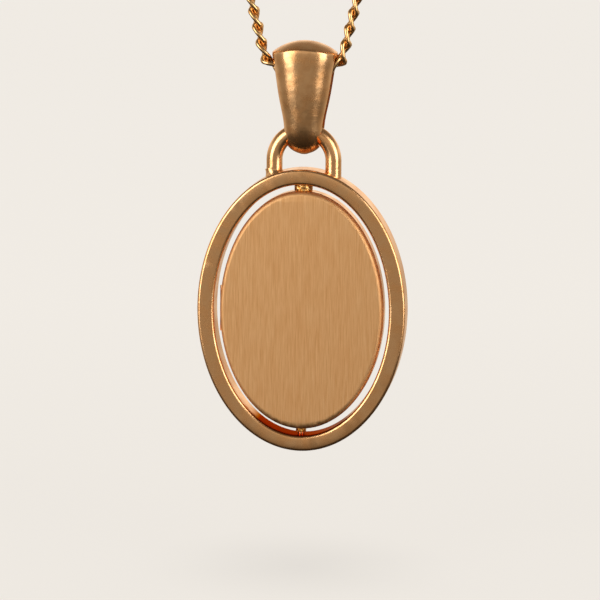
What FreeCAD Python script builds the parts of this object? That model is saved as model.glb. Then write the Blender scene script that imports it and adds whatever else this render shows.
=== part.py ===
import FreeCAD, Part
import math
import os

os.makedirs("parts", exist_ok=True)

# All lengths are in millimetres. The origin is the middle of the clasp, where the necklace hangs.
frame_z = -43.25

# The oval outer frame and the half ring on its top.
frame_half_width = 10.48
frame_half_height = 14.25
opening_half_width = 8.82
opening_half_height = 12.7
frame_half_depth = 1.35
frame_edge_round = 0.3
loop_centre_z = frame_z + 15.05
loop_radius = 2.95
loop_half_thick = 0.8
loop_half_depth = 0.75
loop_leg = 2.05
swing_z = loop_centre_z + loop_radius

# The hollow oval locket inside it: a deep back half and a thin front cover.
back_half_width = 8.25
back_half_height = 12.05
cover_half_width = 8.2
cover_half_height = 12.0
cover_front_y = -1.3
split_y = -0.55
back_y = 1.3
cover_edge_round = 0.45
pocket_half_width = 6.85
pocket_half_height = 10.75
cover_pocket_y = -0.95
back_pocket_y = 0.9
landing_half_width = 7.45
landing_half_height = 11.35
landing_y = 0.0
content_gap = 0.02

# The pins that the locket turns on, and the collars round them.
pivot_radius = 0.35
pivot_clearance = 0.02
pivot_end = 13.95
pivot_tip = 11.6
upper_collar_radius = 0.85
lower_collar_radius = 0.5
upper_collar_top = 12.66
lower_collar_top = 12.4

# The cover's hinge, on the left edge.
hinge_x = -8.06
hinge_radius = 0.18
hinge_pin_radius = 0.08
hinge_bore_radius = 0.1
hinge_half_length = 2.3
middle_knuckle_half = 0.75
knuckle_gap = 0.05

# The tapered bail: the height of each of its sections, then the section's half width and half depth.
bail_tip_z = frame_z + 15.68
bail_sections = [
    (bail_tip_z, 0.30, 0.28),
    (frame_z + 15.86, 0.80, 0.72),
    (frame_z + 16.40, 1.56, 1.34),
    (frame_z + 17.25, 1.92, 1.78),
    (frame_z + 18.80, 2.08, 2.10),
    (frame_z + 20.50, 2.40, 2.30),
    (frame_z + 22.10, 2.70, 2.46),
    (frame_z + 24.20, 3.02, 2.60),
    (frame_z + 25.75, 3.22, 2.66),
    (frame_z + 27.20, 3.36, 2.68),
]
bail_roundness = 2.3
bail_top_z = frame_z + 26.95
bail_dome_radius = 5.0
bail_dome_foot_z = frame_z + 22.0
bail_rim_round = 0.2
bail_half_width = 3.2
bail_bore_radius = 0.93
bail_inner_top_z = frame_z + 26.0
bail_inner_edge_z = frame_z + 25.32
bail_groove_clearance = 0.08
frame_swing_degrees = 37

# The chain, drawn as a plain tube round the links, and the corners of its route.
chain_diameter = 1.1
chain_corners = [
    (-5.26, -0.25),
    (-7.22, -3.27),
    (-6.64, -7.58),
    (-4.80, -14.85),
    (-3.72, -18.90),
    (-1.35, -19.01),
    (1.35, -19.01),
    (3.45, -18.90),
    (4.47, -14.85),
    (6.15, -7.58),
    (7.22, -3.27),
    (5.26, -0.25),
]
corner_share = 0.45

# The closing rings and the lobster clasp between them.
ring_radius = 1.05
ring_wire_radius = 0.25
ring_centre_x = 4.05
clasp_half_depth = 0.5
tail_half_depth = 0.35
tail_x = -3.0
tail_radius = 0.75
tail_hole_radius = 0.38
hook_centre_x = 1.7
hook_half_length = 2.25
hook_half_height = 1.5
hook_hole_x = 2.02
hook_hole_half_length = 1.44
hook_hole_half_height = 0.88
lever_pivot = (-0.1, -0.75)
lever_start_x = 0.5
lever_tip_x = 2.4
lever_gap = 0.06
clasp_pin_radius = 0.2


def point(x, y, z):
    return FreeCAD.Vector(x, y, z)


def save(name, shape):
    shape.exportStep("parts/" + name + ".step")
    print(name, "solids", len(shape.Solids), "valid", shape.isValid(), "volume", round(shape.Volume, 3))


def oval_wire(half_width, half_height, y, z_offset=0.0):
    centre = point(0, y, frame_z + z_offset)
    long_end = centre + point(0, 0, half_height)
    short_end = centre + point(half_width, 0, 0)
    return Part.Wire([Part.Ellipse(long_end, short_end, centre).toShape()])


def oval_plate(half_width, half_height, near_y, far_y):
    face = Part.Face(oval_wire(half_width, half_height, near_y))
    return face.extrude(point(0, far_y - near_y, 0))


def edges_at_y(shape, y):
    flat = []
    for edge in shape.Edges:
        box = edge.BoundBox
        if abs(box.YMin - y) < 0.001 and abs(box.YMax - y) < 0.001:
            flat.append(edge)
    return flat


def rounded_at_y(shape, y, radius):
    return shape.makeFillet(radius, edges_at_y(shape, y))


def upright_rod(x, y, radius, low_z, high_z):
    return Part.makeCylinder(radius, high_z - low_z, point(x, y, low_z), point(0, 0, 1))


def cross_rod(x, z, radius, half_depth):
    return Part.makeCylinder(radius, 2 * half_depth, point(x, -half_depth, z), point(0, 1, 0))


def block(low, high):
    size = [b - a for a, b in zip(low, high)]
    return Part.makeBox(size[0], size[1], size[2], point(low[0], low[1], low[2]))


def outer_frame():
    ring = oval_plate(frame_half_width, frame_half_height, -frame_half_depth, frame_half_depth)
    ring = ring.cut(oval_plate(opening_half_width, opening_half_height, -2, 2))
    for y in (-frame_half_depth, frame_half_depth):
        ring = rounded_at_y(ring, y, frame_edge_round)
    for side in (-1, 1):
        ends = sorted([frame_z + side * 12.0, frame_z + side * pivot_end])
        ring = ring.cut(upright_rod(0, 0, pivot_radius, ends[0], ends[1]))
    return ring


def section_oval(x, z, half_x, half_y):
    centre = point(x, 0, z)
    if half_x >= half_y:
        curve = Part.Ellipse(centre + point(half_x, 0, 0), centre + point(0, half_y, 0), centre)
    else:
        curve = Part.Ellipse(centre + point(0, half_y, 0), centre + point(-half_x, 0, 0), centre)
    return Part.Wire([curve.toShape()])


def solder_flare(side):
    profile = [point(0, 0, -0.5), point(1.0, 0, -0.5), point(0.95, 0, 0.0)]
    neck = [point(0.72, 0, 0.7), point(0, 0, 0.7), point(0, 0, -0.5)]
    slope = Part.Arc(profile[-1], point(0.81, 0, 0.26), neck[0]).toShape()
    edges = Part.makePolygon(profile).Edges + [slope] + Part.makePolygon(neck).Edges
    flare = Part.Face(Part.Wire(edges)).revolve(point(0, 0, 0), point(0, 0, 1), 360)
    x = side * loop_radius
    surface_z = frame_half_height * math.sqrt(1 - (x / frame_half_width) ** 2)
    lean = math.degrees(math.atan2(x / frame_half_width**2, surface_z / frame_half_height**2))
    flare.rotate(point(0, 0, 0), point(0, 1, 0), lean)
    flare.translate(point(x, 0, frame_z + surface_z))
    return flare


def frame_loop():
    frame_plate = oval_plate(frame_half_width, frame_half_height, -2, 2)
    section = Part.Face(section_oval(loop_radius, loop_centre_z, loop_half_thick, loop_half_depth))
    loop = section.revolve(point(0, 0, loop_centre_z), point(0, -1, 0), 180)
    for side in (-1, 1):
        foot = Part.Face(
            section_oval(side * loop_radius, loop_centre_z, loop_half_thick, loop_half_depth))
        leg = foot.extrude(point(0, 0, -loop_leg)).cut(frame_plate)
        loop = loop.fuse(leg).fuse(solder_flare(side).cut(frame_plate))
    return loop


def pivot_pin(side):
    ends = sorted([frame_z + side * pivot_tip, frame_z + side * pivot_end])
    return upright_rod(0, 0, pivot_radius, ends[0], ends[1])


def pivot_hole(side):
    ends = sorted([frame_z + side * (pivot_tip - 0.05), frame_z + side * pivot_end])
    return upright_rod(0, 0, pivot_radius + pivot_clearance, ends[0], ends[1])


def pivot_collar(side, radius, top):
    ends = sorted([frame_z + side * 11.9, frame_z + side * top])
    collar = upright_rod(0, 0, radius, ends[0], ends[1])
    collar = collar.cut(oval_plate(back_half_width, back_half_height, -2, 2))
    return collar.cut(pivot_hole(side))


def knuckle_spans():
    inner = middle_knuckle_half + knuckle_gap
    return {
        "upper": (frame_z + inner, frame_z + hinge_half_length),
        "middle": (frame_z - middle_knuckle_half, frame_z + middle_knuckle_half),
        "lower": (frame_z - hinge_half_length, frame_z - inner),
    }


def hinge_seat(names, gap):
    spans = knuckle_spans()
    rods = [
        upright_rod(hinge_x, split_y, hinge_radius + gap, spans[name][0] - gap, spans[name][1] + gap)
        for name in names
    ]
    return Part.makeCompound(rods)


def knuckle(name):
    low, high = knuckle_spans()[name]
    barrel = upright_rod(hinge_x, split_y, hinge_radius, low, high)
    return barrel.cut(upright_rod(hinge_x, split_y, hinge_bore_radius, low - 1, high + 1))


def hinge_pin():
    half = hinge_half_length
    return upright_rod(hinge_x, split_y, hinge_pin_radius, frame_z - half, frame_z + half)


def back_cover():
    half = oval_plate(back_half_width, back_half_height, split_y, back_y)
    half = rounded_at_y(half, back_y, cover_edge_round)
    half = rounded_at_y(half, split_y, 0.1)
    half = half.cut(oval_plate(pocket_half_width, pocket_half_height, split_y - 1, back_pocket_y))
    half = half.cut(oval_plate(landing_half_width, landing_half_height, split_y - 1, landing_y))
    half = half.cut(hinge_seat(["upper", "lower"], 0))
    half = half.cut(hinge_seat(["middle"], knuckle_gap))
    for side in (-1, 1):
        half = half.cut(pivot_hole(side))
    return half


def front_cover():
    half = oval_plate(cover_half_width, cover_half_height, cover_front_y, split_y)
    half = rounded_at_y(half, cover_front_y, cover_edge_round)
    half = half.cut(oval_plate(pocket_half_width, pocket_half_height, cover_pocket_y, split_y + 1))
    half = half.cut(hinge_seat(["middle"], 0))
    half = half.cut(hinge_seat(["upper", "lower"], knuckle_gap))
    nail_notch = upright_rod(cover_half_width + 0.25, split_y + 0.1, 0.42, frame_z - 1.2, frame_z + 1.2)
    return half.cut(nail_notch)


def latch_tongue():
    tongue = block((7.05, split_y, frame_z - 1.2), (7.25, landing_y - 0.08, frame_z + 1.2))
    tip_edges = [e for e in tongue.Edges if abs(e.BoundBox.YMin - (landing_y - 0.08)) < 0.001]
    return tongue.makeFillet(0.06, tip_edges)


def photo_layer(near_y, far_y):
    return oval_plate(pocket_half_width - content_gap, pocket_half_height - content_gap, near_y, far_y)


def photo_rim(near_y, far_y):
    ring = photo_layer(near_y, far_y)
    return ring.cut(oval_plate(pocket_half_width - 0.9, pocket_half_height - 0.9, near_y - 1, far_y + 1))


def bail_section(z, half_width, half_depth):
    corners = []
    for step in range(24):
        angle = math.radians(step * 15)
        across = math.copysign(abs(math.cos(angle)) ** (2 / bail_roundness), math.cos(angle))
        deep = math.copysign(abs(math.sin(angle)) ** (2 / bail_roundness), math.sin(angle))
        corners.append(point(half_width * across, half_depth * deep, z))
    curve = Part.BSplineCurve()
    curve.interpolate(corners, PeriodicFlag=True)
    return Part.Wire([curve.toShape()])


def bail_dome():
    dome = Part.makeSphere(bail_dome_radius, point(0, 0, bail_top_z - bail_dome_radius))
    return dome.fuse(block((-5, -5, frame_z + 14), (5, 5, bail_dome_foot_z)))


def bail_inner_arch():
    w = bail_half_width
    arch = Part.Arc(
        point(-w, -4, bail_inner_edge_z), point(0, -4, bail_inner_top_z), point(w, -4, bail_inner_edge_z)
    ).toShape()
    rise = bail_inner_top_z - bail_inner_edge_z
    flare = rise * 0.5
    corners = [
        point(w, -4, bail_inner_edge_z),
        point(w + 0.6, -4, bail_inner_edge_z - flare),
        point(w + 0.6, -4, swing_z),
        point(-w - 0.6, -4, swing_z),
        point(-w - 0.6, -4, bail_inner_edge_z - flare),
        point(-w, -4, bail_inner_edge_z),
    ]
    face = Part.Face(Part.Wire([arch] + Part.makePolygon(corners).Edges))
    return face.extrude(point(0, 8, 0))


def bail_opening():
    slot = block((-4, -bail_bore_radius, swing_z), (4, bail_bore_radius, bail_top_z))
    bore = Part.makeCylinder(bail_bore_radius, 8, point(-4, 0, swing_z), point(1, 0, 0))
    return slot.common(bail_inner_arch()).fuse(bore)


def frame_swing_wedge():
    angle = math.radians(frame_swing_degrees)
    half = loop_half_depth + bail_groove_clearance
    across = point(0, half * math.cos(angle), half * math.sin(angle))
    down = point(0, math.sin(angle), -math.cos(angle))
    upper = point(-4, 0, swing_z) + across
    lower = upper + down * 3
    corners = [
        upper,
        lower,
        point(-4, 0, swing_z - 5),
        point(-4, -lower.y, lower.z),
        point(-4, -upper.y, upper.z),
        upper,
    ]
    return Part.Face(Part.makePolygon(corners)).extrude(point(8, 0, 0))


def bail_groove():
    reach = 2.12
    inner_radius = loop_radius - loop_half_thick
    arc_z = loop_centre_z - bail_groove_clearance
    drop = math.sqrt(inner_radius**2 - reach**2)
    curve = Part.Arc(
        point(-reach, 0, arc_z + drop), point(0, 0, arc_z + inner_radius), point(reach, 0, arc_z + drop)
    ).toShape()
    corners = [
        point(reach, 0, arc_z + drop),
        point(reach, 0, swing_z),
        point(-reach, 0, swing_z),
        point(-reach, 0, arc_z + drop),
    ]
    face = Part.Face(Part.Wire([curve] + Part.makePolygon(corners).Edges))
    turned = face.revolve(point(0, 0, swing_z), point(1, 0, 0), 360)
    return turned.common(frame_swing_wedge())


def bail():
    body = Part.makeLoft([bail_section(*row) for row in bail_sections], True, False)
    body = body.common(bail_dome())
    rim = []
    for edge in body.Edges:
        box = edge.BoundBox
        if box.ZMin > bail_dome_foot_z + 1 and max(box.XLength, box.YLength) > 0.5:
            rim.append(edge)
    body = body.makeFillet(bail_rim_round, rim)
    return body.cut(bail_opening()).cut(bail_groove())


def chain_route():
    return [point(x, 0, z) for x, z in chain_corners]


def chain():
    route = chain_route()
    edges = []
    here = route[0]
    length = 0.0
    for before, corner, after in zip(route, route[1:], route[2:]):
        incoming = corner - before
        outgoing = after - corner
        turn = incoming.getAngle(outgoing)
        trim = corner_share * min(incoming.Length, outgoing.Length)
        radius = trim / math.tan(turn / 2)
        start = corner - incoming.normalize() * trim
        end = corner + outgoing.normalize() * trim
        inward = (end - corner) + (start - corner)
        centre = corner + inward.normalize() * (radius / math.cos(turn / 2))
        middle = centre + (corner - centre).normalize() * radius
        edges.append(Part.makeLine(here, start))
        edges.append(Part.Arc(start, middle, end).toShape())
        length += here.distanceToPoint(start) + radius * turn
        here = end
        print("chain corner", round(corner.x, 2), round(corner.z, 2), "turn",
              round(math.degrees(turn), 1), "radius", round(radius, 2))
    edges.append(Part.makeLine(here, route[-1]))
    length += here.distanceToPoint(route[-1])
    circle = Part.makeCircle(chain_diameter / 2, route[0], route[1] - route[0])
    tube = Part.Wire(edges).makePipeShell([Part.Wire([circle])], True, False)
    section = math.pi * chain_diameter**2 / 4
    print("chain length", round(length, 2), "volume share", round(tube.Volume / (section * length), 4))
    return tube


def end_ring(side):
    centre = point(side * ring_centre_x, 0, 0)
    return Part.makeTorus(ring_radius, ring_wire_radius, centre, point(0, 0, 1))


def clasp_oval(x, half_length, half_height, half_depth):
    centre = point(x, -half_depth, 0)
    curve = Part.Ellipse(centre + point(half_length, 0, 0), centre + point(0, 0, half_height), centre)
    return Part.Face(Part.Wire([curve.toShape()])).extrude(point(0, 2 * half_depth, 0))


def hook_ring():
    solid = clasp_oval(hook_centre_x, hook_half_length, hook_half_height, clasp_half_depth)
    solid = rounded_at_y(solid, -clasp_half_depth, 0.3)
    solid = rounded_at_y(solid, clasp_half_depth, 0.3)
    return solid.cut(clasp_oval(hook_hole_x, hook_hole_half_length, hook_hole_half_height, 2))


def lever_arm_space():
    return block((lever_start_x, -2, -2.5), (lever_tip_x, 2, -0.45))


def lever_swing_space():
    return block((lever_start_x - 0.24, -2, -2.5), (lever_tip_x + lever_gap, 2, -0.18))


def clasp_body():
    x, z = lever_pivot
    tail = cross_rod(tail_x, 0, tail_radius, tail_half_depth)
    corners = [
        point(-2.75, -tail_half_depth, -0.5),
        point(-0.2, -tail_half_depth, -1.15),
        point(0.55, -tail_half_depth, -1.15),
        point(0.55, -tail_half_depth, 1.15),
        point(-0.2, -tail_half_depth, 1.15),
        point(-2.75, -tail_half_depth, 0.5),
        point(-2.75, -tail_half_depth, -0.5),
    ]
    neck = Part.Face(Part.makePolygon(corners)).extrude(point(0, 2 * tail_half_depth, 0))
    body = hook_ring().fuse(neck).fuse(tail)
    body = body.cut(clasp_oval(hook_hole_x, hook_hole_half_length, hook_hole_half_height, 2))
    body = body.cut(cross_rod(tail_x, 0, tail_hole_radius, 2))
    body = body.cut(lever_swing_space())
    slot = block((x - 0.95, -0.28, -2.5), (lever_start_x + 0.1, 0.28, -0.25))
    body = body.cut(slot)
    return body.cut(cross_rod(x, z, clasp_pin_radius, 2)).removeSplitter()


def clasp_lever():
    x, z = lever_pivot
    arm = hook_ring().common(lever_arm_space())
    link = block((x - 0.3, -0.2, z - 0.35), (lever_start_x + 0.35, 0.2, z + 0.3))
    eye = cross_rod(x, z, 0.38, 0.2)
    tab = cross_rod(x - 0.35, z - 0.75, 0.3, 0.2).fuse(
        block((x - 0.45, -0.2, z - 0.75), (x, 0.2, z - 0.2)))
    lever = arm.fuse(link).fuse(eye).fuse(tab)
    return lever.cut(cross_rod(x, z, clasp_pin_radius + 0.03, 2)).removeSplitter()


def clasp_pivot_pin():
    x, z = lever_pivot
    return cross_rod(x, z, clasp_pin_radius, clasp_half_depth)


save("outer_frame", outer_frame())
save("frame_loop", frame_loop())
save("upper_pivot_pin", pivot_pin(1))
save("lower_pivot_pin", pivot_pin(-1))
save("upper_pivot_collar", pivot_collar(1, upper_collar_radius, upper_collar_top))
save("lower_pivot_collar", pivot_collar(-1, lower_collar_radius, lower_collar_top))
save("back_cover", back_cover())
save("front_cover", front_cover())
save("upper_hinge_knuckle", knuckle("upper"))
save("lower_hinge_knuckle", knuckle("lower"))
save("cover_hinge_knuckle", knuckle("middle"))
save("hinge_pin", hinge_pin())
save("latch_tongue", latch_tongue())
save("back_photo_card", photo_layer(0.75, 0.9))
save("back_photo_window", photo_layer(0.5, 0.75))
save("back_photo_rim", photo_rim(0.0, 0.5))
save("front_photo_card", photo_layer(-0.95, -0.8))
save("front_photo_window", photo_layer(-0.8, -0.6))
save("front_photo_rim", photo_rim(-0.6, -0.25))
save("bail", bail())
save("chain", chain())
save("left_end_ring", end_ring(-1))
save("right_end_ring", end_ring(1))
save("clasp_body", clasp_body())
save("clasp_lever", clasp_lever())
save("clasp_pivot_pin", clasp_pivot_pin())
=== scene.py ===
import math

import bmesh
import bpy
from mathutils import Matrix, Vector, noise


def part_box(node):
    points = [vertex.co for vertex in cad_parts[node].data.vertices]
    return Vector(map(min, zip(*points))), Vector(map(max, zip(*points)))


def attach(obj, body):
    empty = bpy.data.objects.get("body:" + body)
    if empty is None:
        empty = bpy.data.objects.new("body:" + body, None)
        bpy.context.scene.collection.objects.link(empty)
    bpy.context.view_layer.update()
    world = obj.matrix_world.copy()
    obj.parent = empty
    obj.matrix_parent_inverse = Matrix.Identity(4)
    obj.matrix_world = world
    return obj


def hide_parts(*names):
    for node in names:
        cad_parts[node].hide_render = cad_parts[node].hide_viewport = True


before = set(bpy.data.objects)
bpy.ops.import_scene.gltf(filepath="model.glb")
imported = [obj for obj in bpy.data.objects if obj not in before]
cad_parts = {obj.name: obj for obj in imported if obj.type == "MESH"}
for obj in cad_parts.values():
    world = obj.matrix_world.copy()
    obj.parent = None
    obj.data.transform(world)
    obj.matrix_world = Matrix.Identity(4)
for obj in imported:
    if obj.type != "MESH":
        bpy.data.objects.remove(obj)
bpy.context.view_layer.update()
mm = 0.001
frameLow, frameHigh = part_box("outer_frame")
pendantZ = (frameLow[2] + frameHigh[2]) / 2  # every height on the pendant is from here
print("frame loaded, pendant centre at", round(pendantZ, 5))


# ---- camera

cameraSetup = {"azimuth": 8.0, "elevation": 10.0, "distance": 0.3, "lens": 180, "aimX": -0.25, "aimUp": 0.95,
               "roll": 0.6, "clip": (0.01, 20)}


def makeCamera():
    az = math.radians(cameraSetup["azimuth"])
    el = math.radians(cameraSetup["elevation"])
    back = Vector((math.sin(az) * math.cos(el), -math.cos(az) * math.cos(el), math.sin(el)))
    aim = Vector((cameraSetup["aimX"] * mm, 0, pendantZ + cameraSetup["aimUp"] * mm))
    data = bpy.data.cameras.new("camera")
    data.lens = cameraSetup["lens"]
    data.clip_start, data.clip_end = cameraSetup["clip"]
    camera = bpy.data.objects.new("camera", data)
    camera.location = aim + back * cameraSetup["distance"]
    turn = (-back).to_track_quat("-Z", "Y").to_matrix()
    camera.rotation_euler = (turn @ Matrix.Rotation(math.radians(cameraSetup["roll"]), 3, "Z")).to_euler()
    bpy.context.scene.collection.objects.link(camera)
    bpy.context.scene.camera = camera
    print("camera placed")


# ---- helpers for pieces and materials

meshSetup = {"weld": 0.002, "sliver": 0.001, "sharpest": 32, "normalWeight": 90, "windowThickness": 0.8}


def finishPiece(name, bm, body, material, nodes=(), smooth=True):
    mesh = bpy.data.meshes.new(name)
    bm.to_mesh(mesh)
    bm.free()
    for face in mesh.polygons:
        face.use_smooth = smooth
    piece = bpy.data.objects.new(name, mesh)
    bpy.context.scene.collection.objects.link(piece)
    mesh.materials.append(material)
    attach(piece, body)
    if nodes:
        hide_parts(*nodes)
    return piece


def dress(material, *names):
    for name in names:
        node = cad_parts[name]
        node.data.materials.clear()
        node.data.materials.append(material)


def mergedMesh(node):
    bm = bmesh.new()
    bm.from_mesh(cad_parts[node].data)
    bmesh.ops.remove_doubles(bm, verts=bm.verts[:], dist=meshSetup["weld"] * mm)
    return bm


def smoothCopy(node, body, material):
    bm = mergedMesh(node)
    bmesh.ops.dissolve_degenerate(bm, edges=bm.edges[:], dist=meshSetup["sliver"] * mm)
    bmesh.ops.recalc_face_normals(bm, faces=bm.faces[:])
    for edge in bm.edges:
        edge.smooth = edge.calc_face_angle(0) < math.radians(meshSetup["sharpest"])
    name = "".join(part.capitalize() for part in node.split("_"))
    piece = finishPiece(name[0].lower() + name[1:] + "Look", bm, body, material, [node])
    shade = piece.modifiers.new("evenNormals", "WEIGHTED_NORMAL")
    shade.keep_sharp = True
    shade.weight = meshSetup["normalWeight"]
    return piece


def windowCopy(side, body, material):
    node = side + "_photo_window"
    bm = mergedMesh(node)
    depths = [v.co.y for v in bm.verts]
    middle = (min(depths) + max(depths)) / 2
    for v in bm.verts:  # thinner, so its faces don't lie in those of the card and the rim
        v.co.y = middle + (v.co.y - middle) * meshSetup["windowThickness"]
    return finishPiece(side + "WindowLook", bm, body, material, [node], smooth=False)


def newMaterial(name):
    material = bpy.data.materials.new(name)
    material.use_nodes = True
    shader = material.node_tree.nodes["Principled BSDF"]
    return material, material.node_tree, shader


def addNode(tree, kind, **values):
    node = tree.nodes.new(kind)
    for key, value in values.items():
        if key in node.inputs:
            node.inputs[key].default_value = value
        else:
            setattr(node, key, value)
    return node


def stretchedNoise(tree, scale, detail=3.0, roughness=0.5):
    place = addNode(tree, "ShaderNodeTexCoord")
    mapping = addNode(tree, "ShaderNodeMapping", Scale=scale)
    pattern = addNode(tree, "ShaderNodeTexNoise", Scale=1.0, Detail=detail, Roughness=roughness)
    tree.links.new(place.outputs["Object"], mapping.inputs["Vector"])
    tree.links.new(mapping.outputs["Vector"], pattern.inputs["Vector"])
    return pattern.outputs["Fac"]


def evenNoise(tree, scale, detail):
    return stretchedNoise(tree, (scale, scale, scale), detail)


def ramp(tree, value, stops):
    node = addNode(tree, "ShaderNodeValToRGB")
    band = node.color_ramp
    band.elements[0].position = stops[0][0]
    band.elements[0].color = (*stops[0][1], 1)
    band.elements[1].position = stops[-1][0]
    band.elements[1].color = (*stops[-1][1], 1)
    for place, colour in stops[1:-1]:
        band.elements.new(place).color = (*colour, 1)
    tree.links.new(value, node.inputs["Fac"])
    return node.outputs["Color"]


def levels(tree, value, low, high, fromLow=0.3, fromHigh=0.7):
    node = addNode(tree, "ShaderNodeMapRange")
    node.inputs["From Min"].default_value = fromLow
    node.inputs["From Max"].default_value = fromHigh
    node.inputs["To Min"].default_value = low
    node.inputs["To Max"].default_value = high
    tree.links.new(value, node.inputs["Value"])
    return node.outputs["Result"]


def addBump(tree, shader, height, distance, strength=1.0):
    bump = addNode(tree, "ShaderNodeBump", Strength=strength, Distance=distance)
    tree.links.new(height, bump.inputs["Height"])
    tree.links.new(bump.outputs["Normal"], shader.inputs["Normal"])
    return bump


# ---- materials

goldTone = {"light": (0.97, 0.585, 0.295), "deep": (0.87, 0.465, 0.2), "edge": (1.0, 0.97, 0.93),
            "brushedLight": (1.0, 0.63, 0.315), "brushedDeep": (0.82, 0.455, 0.19),
            "castLight": (0.98, 0.595, 0.3), "castDeep": (0.87, 0.465, 0.2),
            "chainLight": (0.98, 0.66, 0.32), "chainDeep": (0.86, 0.5, 0.2),
            # The last three tones on the next line are painted shade: two for the colour and edge tint of
            # the frame's lower inner wall, one for the front cover's lower rim.
            "paintedWallShade": (0.42, 0.14, 0.045), "paintedWallShadeEdge": (0.5, 0.22, 0.1), "dirt": (0.26, 0.14, 0.055)}
ovals = {"opening": (8.82, 12.7), "cover": (8.2, 12.0)}  # half width and half height
finish = {"polished": {"roughness": (0.3, 0.17), "patches": 700, "grain": 5000, "depth": 0.00001},
          # wall and low: where the frame's painted shade falls, on the lower part of the opening's inner
          # wall
          "frame": {"roughness": (0.32, 0.19), "wall": (1.012, 1.006), "low": (-0.88, -0.8)},
          "brushed": {"roughness": (0.62, 0.5), "strokes": (11000, 11000, 450), "depth": 0.00003,
                      # ragged, edge and low: where the cover's painted shade falls, a ragged band along its
                      # lower rim
                      "ragged": (2500, 2500, 1500), "edge": (0.945, 0.965), "low": (-0.93, -0.72)},
          "cast": {"roughness": (0.32, 0.18), "patches": 900, "grain": 2600, "depth": 0.00002,
                   "swell": 520, "swellDepth": 0.0001},
          "chain": {"roughness": (0.28, 0.16), "patches": 1500},
          "grain": {"roughness": (0.5, 0.25), "patches": 3800, "depth": 0.0001}}


def ovalBand(tree, halfSizes, limits):
    halfWidth, halfHeight = (size * mm for size in halfSizes)
    place = addNode(tree, "ShaderNodeTexCoord")
    oval = addNode(tree, "ShaderNodeMapping", Scale=(1 / halfWidth, 0, 1 / halfHeight))
    oval.inputs["Location"].default_value = (0, 0, -pendantZ / halfHeight)
    tree.links.new(place.outputs["Object"], oval.inputs["Vector"])
    size = addNode(tree, "ShaderNodeVectorMath", operation="LENGTH")
    tree.links.new(oval.outputs["Vector"], size.inputs[0])
    parts = addNode(tree, "ShaderNodeSeparateXYZ")
    tree.links.new(oval.outputs["Vector"], parts.inputs["Vector"])
    return levels(tree, size.outputs["Value"], 0, 1, *limits), parts.outputs["Z"]


def times(tree, a, b):
    node = addNode(tree, "ShaderNodeMath", operation="MULTIPLY")
    tree.links.new(a, node.inputs[0])
    tree.links.new(b, node.inputs[1])
    return node.outputs["Value"]


def darkened(tree, colour, share, dark):
    mix = addNode(tree, "ShaderNodeMix", data_type="RGBA")
    tree.links.new(share, mix.inputs["Factor"])
    tree.links.new(colour, mix.inputs["A"])
    mix.inputs["B"].default_value = (*dark, 1)
    return mix.outputs["Result"]


def edgeTint(tree):
    node = addNode(tree, "ShaderNodeRGB")
    node.outputs["Color"].default_value = (*goldTone["edge"], 1)
    return node.outputs["Color"]


def goldMaterial(name):
    material, tree, shader = newMaterial(name)
    shader.inputs["Metallic"].default_value = 1.0
    shader.inputs["Specular Tint"].default_value = (*goldTone["edge"], 1)
    return material, tree, shader


def polishedSurface(tree, shader, roughness):
    patches = evenNoise(tree, finish["polished"]["patches"], 4)
    tree.links.new(levels(tree, patches, *roughness), shader.inputs["Roughness"])
    grain = evenNoise(tree, finish["polished"]["grain"], 3)
    addBump(tree, shader, grain, finish["polished"]["depth"], 0.35)
    return ramp(tree, patches, [(0.35, goldTone["deep"]), (0.65, goldTone["light"])])


def polishedGold():
    material, tree, shader = goldMaterial("polishedGold")
    colour = polishedSurface(tree, shader, finish["polished"]["roughness"])
    tree.links.new(colour, shader.inputs["Base Color"])
    return material


def frameGold():
    material, tree, shader = goldMaterial("frameGold")
    colour = polishedSurface(tree, shader, finish["frame"]["roughness"])
    # Painted shade: the lower part of the opening's inner wall gets a darker colour and a darker edge tint.
    inside, height = ovalBand(tree, ovals["opening"], finish["frame"]["wall"])
    low = levels(tree, height, 1, 0, *finish["frame"]["low"])
    paintedShadeMask = times(tree, inside, low)
    tree.links.new(darkened(tree, colour, paintedShadeMask, goldTone["paintedWallShade"]), shader.inputs["Base Color"])
    tint = darkened(tree, edgeTint(tree), paintedShadeMask, goldTone["paintedWallShadeEdge"])
    tree.links.new(tint, shader.inputs["Specular Tint"])
    return material


def brushedGold():
    material, tree, shader = goldMaterial("brushedGold")
    look = finish["brushed"]
    strokes = stretchedNoise(tree, look["strokes"], 4, 0.6)
    colour = ramp(tree, strokes, [(0.3, goldTone["brushedDeep"]), (0.7, goldTone["brushedLight"])])
    ragged = stretchedNoise(tree, look["ragged"], 3)
    # Painted shade: a ragged dark band along the lower rim of the cover.
    edge, height = ovalBand(tree, ovals["cover"], look["edge"])
    low = levels(tree, height, 1, 0, *look["low"])
    paintedShadeMask = times(tree, times(tree, edge, low), levels(tree, ragged, 0.3, 1.0, 0.3, 0.7))
    tree.links.new(darkened(tree, colour, paintedShadeMask, goldTone["dirt"]), shader.inputs["Base Color"])
    tree.links.new(levels(tree, strokes, *look["roughness"]), shader.inputs["Roughness"])
    addBump(tree, shader, strokes, look["depth"], 0.5)
    return material


def castGold():
    material, tree, shader = goldMaterial("castGold")
    look = finish["cast"]
    patches = evenNoise(tree, look["patches"], 5)
    colour = ramp(tree, patches, [(0.35, goldTone["castDeep"]), (0.62, goldTone["castLight"])])
    tree.links.new(colour, shader.inputs["Base Color"])
    tree.links.new(levels(tree, patches, *look["roughness"]), shader.inputs["Roughness"])
    grain = evenNoise(tree, look["grain"], 5)
    fine = addBump(tree, shader, grain, look["depth"], 0.15)
    wave = evenNoise(tree, look["swell"], 2)
    swell = addNode(tree, "ShaderNodeBump", Strength=0.3, Distance=look["swellDepth"])
    tree.links.new(wave, swell.inputs["Height"])
    tree.links.new(swell.outputs["Normal"], fine.inputs["Normal"])
    return material


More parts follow.
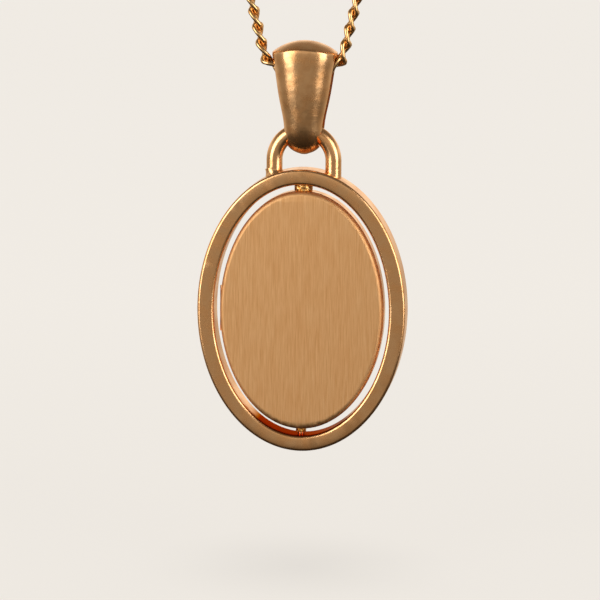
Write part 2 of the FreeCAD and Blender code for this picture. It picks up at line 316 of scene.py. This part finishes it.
def chainGold():
    material, tree, shader = goldMaterial("chainGold")
    patches = evenNoise(tree, finish["chain"]["patches"], 3)
    colour = ramp(tree, patches, [(0.35, goldTone["chainDeep"]), (0.65, goldTone["chainLight"])])
    tree.links.new(colour, shader.inputs["Base Color"])
    tree.links.new(levels(tree, patches, *finish["chain"]["roughness"]), shader.inputs["Roughness"])
    return material


def paperCard():
    material, tree, shader = newMaterial("paperCard")
    fibres = evenNoise(tree, 6000, 5)
    colour = ramp(tree, fibres, [(0.3, (0.80, 0.76, 0.69)), (0.7, (0.88, 0.85, 0.79))])
    tree.links.new(colour, shader.inputs["Base Color"])
    shader.inputs["Roughness"].default_value = 0.8
    addBump(tree, shader, fibres, 0.00001, 0.3)
    return material


def clearWindow():
    material, tree, shader = newMaterial("clearWindow")
    shader.inputs["Base Color"].default_value = (0.93, 0.95, 0.95, 1)
    shader.inputs["IOR"].default_value = 1.49
    shader.inputs["Alpha"].default_value = 0.3
    smears = evenNoise(tree, 400, 3)
    tree.links.new(levels(tree, smears, 0.02, 0.08), shader.inputs["Roughness"])
    return material


def drawnSteel():
    material, tree, shader = newMaterial("drawnSteel")
    shader.inputs["Metallic"].default_value = 1.0
    lines = stretchedNoise(tree, (8000, 8000, 500), 3)
    colour = ramp(tree, lines, [(0.3, (0.48, 0.46, 0.43)), (0.7, (0.62, 0.6, 0.56))])
    tree.links.new(colour, shader.inputs["Base Color"])
    tree.links.new(levels(tree, lines, 0.35, 0.22), shader.inputs["Roughness"])
    return material


# ---- the chain: its route, then its links

chainLook = {"route": [(-5.26, -0.25), (-7.22, -3.27), (-6.64, -7.58), (-4.80, -14.85), (-3.72, -18.90),
                       (-1.35, -19.01), (1.35, -19.01), (3.45, -18.90), (4.47, -14.85), (6.15, -7.58),
                       (7.22, -3.27), (5.26, -0.25)],
             "wire": 0.5, "width": 1.42, "pitch": 1.62, "twist": -120, "outside": 1.1, "hook": 0.26,
             "wireSides": 10, "straightSteps": 4, "bendSteps": 9}


def routePoints():
    curve = bpy.data.curves.new("chainRoute", "CURVE")
    curve.dimensions = "3D"
    curve.resolution_u = 24
    spline = curve.splines.new("NURBS")
    spline.points.add(len(chainLook["route"]) - 1)
    for place, (x, z) in zip(spline.points, chainLook["route"]):
        place.co = (x * mm, 0, z * mm, 1)
    spline.order_u = 3
    spline.use_endpoint_u = True
    holder = bpy.data.objects.new("chainRoute", curve)
    mesh = bpy.data.meshes.new_from_object(holder)
    points = [v.co.copy() for v in mesh.vertices]
    bpy.data.objects.remove(holder)
    bpy.data.meshes.remove(mesh)
    return points


def ovalLink():
    wire = chainLook["wire"] * mm
    side = (chainLook["width"] * mm - wire) / 2
    straight = chainLook["pitch"] * mm + wire - 2 * side
    bm = bmesh.new()
    start = Matrix.Translation((-straight / 2, side, 0)) @ Matrix.Rotation(math.pi / 2, 4, "Y")
    bmesh.ops.create_circle(bm, segments=chainLook["wireSides"], radius=wire / 2, matrix=start)
    edge = bm.verts[:] + bm.edges[:]
    for direction in (1, -1):
        step = Vector((direction * straight / chainLook["straightSteps"], 0, 0))
        edge = bmesh.ops.spin(bm, geom=edge, dvec=step, axis=(0, 0, 1), cent=(0, 0, 0), angle=0,
                              steps=chainLook["straightSteps"], use_duplicate=False)["geom_last"]
        edge = bmesh.ops.spin(bm, geom=edge, dvec=(0, 0, 0), axis=(0, 0, 1),
                              cent=(direction * straight / 2, 0, 0), angle=-math.pi,
                              steps=chainLook["bendSteps"], use_duplicate=False)["geom_last"]
    bmesh.ops.remove_doubles(bm, verts=bm.verts[:], dist=wire * 0.02)
    reach = straight + 2 * side
    for v in bm.verts:
        angle = math.radians(chainLook["twist"]) * v.co.x / reach
        v.co = Matrix.Rotation(angle, 3, "X") @ v.co
    bmesh.ops.recalc_face_normals(bm, faces=bm.faces[:])
    mesh = bpy.data.meshes.new("chainLink")
    bm.to_mesh(mesh)
    bm.free()
    return mesh


def placesAlong(points, pitch):
    lengths = [0.0]
    for a, b in zip(points, points[1:]):
        lengths.append(lengths[-1] + (b - a).length)
    hook = chainLook["hook"] * mm  # the end links go round the rings
    steps = round((lengths[-1] - 2 * hook) / pitch)
    places = []
    for k in range(steps + 1):
        want = hook + k * (lengths[-1] - 2 * hook) / steps
        i = max(j for j, done in enumerate(lengths) if done <= want)
        share = (want - lengths[i]) / (lengths[i + 1] - lengths[i])
        spot = points[i].lerp(points[i + 1], share)
        before = points[max(i - 1, 0)]
        after = points[min(i + 2, len(points) - 1)]
        places.append((spot, (after - before).normalized()))
    return places, lengths[-1]


def chainPiece(material):
    points = routePoints()
    link = ovalLink()
    bm = bmesh.new()
    places, length = placesAlong(points, chainLook["pitch"] * mm)
    for spot, along in places:
        first = len(bm.verts)
        bm.from_mesh(link)
        bm.verts.ensure_lookup_table()
        across = Vector((0, 1, 0))
        turn = Matrix((along, across, along.cross(across))).transposed().to_4x4()
        bmesh.ops.transform(bm, matrix=Matrix.Translation(spot) @ turn, verts=bm.verts[first:])
    piece = finishPiece("chainLinks", bm, "necklace", material, ["chain"])
    print("chain made,", len(places), "links,", round(length, 4), "long")


# ---- the grainy collars round the pivots

collarLook = {"upper": (0.9, 12.02, 12.68), "lower": (0.52, 12.02, 12.42), "grain": 0.07, "lump": 3600}


def collarPiece(side, material):
    radius, low, high = collarLook["upper" if side > 0 else "lower"]
    middle = pendantZ + side * (low + high) / 2 * mm
    bm = bmesh.new()
    bmesh.ops.create_cone(bm, cap_ends=True, segments=40, radius1=radius * mm, radius2=radius * mm,
                          depth=(high - low) * mm)
    upright = [e for e in bm.edges if e.verts[0].co.z * e.verts[1].co.z < 0]
    bmesh.ops.subdivide_edges(bm, edges=upright, cuts=8)
    for v in bm.verts:
        if abs(v.co.z) < (high - low) * mm * 0.49:
            reach = noise.noise(v.co * collarLook["lump"]) * collarLook["grain"] * mm
            v.co += Vector((v.co.x, v.co.y, 0)).normalized() * reach
    bmesh.ops.translate(bm, verts=bm.verts[:], vec=(0, 0, middle))
    name = "upper" if side > 0 else "lower"
    return finishPiece(name + "CollarLook", bm, "locket", material, [name + "_pivot_collar"])


def grainGold():
    material, tree, shader = goldMaterial("grainGold")
    grains = evenNoise(tree, finish["grain"]["patches"], 4)
    colour = ramp(tree, grains, [(0.38, (0.45, 0.14, 0.02)), (0.5, (0.8, 0.38, 0.08)),
                                 (0.66, (0.98, 0.66, 0.3))])
    tree.links.new(colour, shader.inputs["Base Color"])
    tree.links.new(levels(tree, grains, *finish["grain"]["roughness"]), shader.inputs["Roughness"])
    addBump(tree, shader, grains, finish["grain"]["depth"], 0.8)
    return material


# ---- studio

studioSetup = {"floorBelow": 26.4, "floorRadius": 3.0, "paper": (0.871, 0.831, 0.776),
               "floorTone": (0.12, 0.115, 0.107),
               # Floor emission by distance from the middle: higher outwards to keep the floor evenly bright,
               # and lower near the middle as a painted shadow under the pendant.
               "floorGlowWithPaintedShadow": [(0.0, 0.79), (0.014, 0.865), (0.156, 0.91), (0.4, 0.935), (0.76, 0.955),
                             (1.0, 0.965)],
               "sky": [(0.0, (0.02, 0.015, 0.01)), (0.28, (0.07, 0.06, 0.05)), (0.34, (0.27, 0.26, 0.24)),
                       (0.41, (0.37, 0.36, 0.34)), (0.44, (0.25, 0.24, 0.22)), (0.5, (0.42, 0.41, 0.39)),
                       (0.6, (0.65, 0.63, 0.6)), (0.7, (0.3, 0.29, 0.27)), (0.8, (0.16, 0.15, 0.14)),
                       (1.0, (0.14, 0.13, 0.12))],
               "softAir": (0.25, 0.245, 0.24), "behind": 2.0, "warmth": (1.0, 0.9, 0.78),
               "lampTint": (1, 0.97, 0.93)}
lamps = {"overheadSoftbox": {"place": (0, 0, 0.5), "size": (0.34, 0.3), "power": 1.0},
         "leftSoftbox": {"place": (-0.33, -0.38, 0.12), "size": (0.3, 0.45), "power": 1.3},
         "rightSoftbox": {"place": (0.42, -0.28, 0.12), "size": (0.28, 0.45), "power": 1.15}}


def areaLight(name):
    middle = Vector((0, 0, pendantZ))
    data = bpy.data.lights.new(name, "AREA")
    data.shape = "RECTANGLE"
    data.size, data.size_y = lamps[name]["size"]
    data.energy = lamps[name]["power"]
    data.color = studioSetup["lampTint"]
    lamp = bpy.data.objects.new(name, data)
    lamp.location = middle + Vector(lamps[name]["place"])
    lamp.rotation_euler = (middle - lamp.location).to_track_quat("-Z", "Y").to_euler()
    bpy.context.scene.collection.objects.link(lamp)
    return lamp


def makeFloor():
    bm = bmesh.new()
    bmesh.ops.create_circle(bm, cap_ends=True, segments=96, radius=studioSetup["floorRadius"])
    mesh = bpy.data.meshes.new("studioFloor")
    bm.to_mesh(mesh)
    bm.free()
    floor = bpy.data.objects.new("studioFloor", mesh)
    floor.location = (0, 0, pendantZ - studioSetup["floorBelow"] * mm)
    bpy.context.scene.collection.objects.link(floor)
    material, tree, shader = newMaterial("floorPaper")
    shader.inputs["Base Color"].default_value = (*studioSetup["floorTone"], 1)
    shader.inputs["Emission Color"].default_value = (*studioSetup["paper"], 1)
    place = addNode(tree, "ShaderNodeTexCoord")
    far = addNode(tree, "ShaderNodeVectorMath", operation="LENGTH")
    tree.links.new(place.outputs["Object"], far.inputs[0])
    # the low value at the middle is a painted shadow under the pendant
    glow = ramp(tree, far.outputs["Value"], [(at, (own, own, own)) for at, own in studioSetup["floorGlowWithPaintedShadow"]])
    tree.links.new(glow, shader.inputs["Emission Strength"])
    shader.inputs["Roughness"].default_value = 0.9
    shader.inputs["Specular IOR Level"].default_value = 0.0
    mesh.materials.append(material)
    floor.visible_glossy = False


def rayMix(tree, ray, usual, special):
    rays = addNode(tree, "ShaderNodeLightPath")
    mix = addNode(tree, "ShaderNodeMixShader")
    tree.links.new(rays.outputs[ray], mix.inputs["Fac"])
    tree.links.new(usual, mix.inputs[1])
    tree.links.new(special, mix.inputs[2])
    return mix.outputs["Shader"]


def plainAir(tree, colour):
    air = addNode(tree, "ShaderNodeBackground")
    air.inputs["Color"].default_value = (*colour, 1)
    return air.outputs["Background"]


def makeWorld():
    world = bpy.data.worlds.new("studioAir")
    bpy.context.scene.world = world
    world.use_nodes = True
    tree = world.node_tree
    back = tree.nodes["Background"]
    place = addNode(tree, "ShaderNodeTexCoord")
    split = addNode(tree, "ShaderNodeSeparateXYZ")
    tree.links.new(place.outputs["Generated"], split.inputs["Vector"])
    sky = ramp(tree, levels(tree, split.outputs["Z"], 0, 1, -1, 1), studioSetup["sky"])
    warm = addNode(tree, "ShaderNodeVectorMath", operation="MULTIPLY")
    tree.links.new(sky, warm.inputs[0])
    warm.inputs[1].default_value = studioSetup["warmth"]
    lift = addNode(tree, "ShaderNodeVectorMath", operation="SCALE")
    tree.links.new(warm.outputs["Vector"], lift.inputs[0])
    behind = levels(tree, split.outputs["Y"], 1.0, studioSetup["behind"], 0.1, 0.9)
    tree.links.new(behind, lift.inputs["Scale"])
    tree.links.new(lift.outputs["Vector"], back.inputs["Color"])
    matt = rayMix(tree, "Is Diffuse Ray", back.outputs["Background"], plainAir(tree, studioSetup["softAir"]))
    seen = rayMix(tree, "Is Camera Ray", matt, plainAir(tree, studioSetup["paper"]))
    tree.links.new(seen, tree.nodes["World Output"].inputs["Surface"])


def makeStudio():
    makeFloor()
    makeWorld()
    areaLight("overheadSoftbox").visible_glossy = False  # it casts the shadow and isn't reflected
    areaLight("leftSoftbox")
    areaLight("rightSoftbox")
    bpy.context.scene.view_settings.view_transform = "Standard"
    print("studio lit")


makeCamera()
gold = polishedGold()
brushed = brushedGold()
cast = castGold()
links = chainGold()
paper = paperCard()
clear = clearWindow()
steel = drawnSteel()
chainPiece(links)
grain = grainGold()
rim = frameGold()
smoothCopy("outer_frame", "frame", rim)
smoothCopy("frame_loop", "frame", gold)
smoothCopy("back_cover", "locket", gold)
smoothCopy("front_cover", "cover", brushed)
smoothCopy("bail", "bail", cast)
windowCopy("back", "locket", clear)
windowCopy("front", "cover", clear)
collarPiece(1, grain)
collarPiece(-1, grain)
print("smooth pieces made")
dress(gold, "outer_frame", "frame_loop", "upper_pivot_pin", "lower_pivot_pin", "back_cover",
      "latch_tongue", "upper_hinge_knuckle", "lower_hinge_knuckle", "cover_hinge_knuckle",
      "back_photo_rim", "front_photo_rim", "clasp_body", "clasp_lever")
dress(brushed, "front_cover")
dress(cast, "bail", "upper_pivot_collar", "lower_pivot_collar")
dress(links, "left_end_ring", "right_end_ring")
dress(paper, "back_photo_card", "front_photo_card")
dress(clear, "back_photo_window", "front_photo_window")
dress(steel, "hinge_pin", "clasp_pivot_pin")
makeStudio()
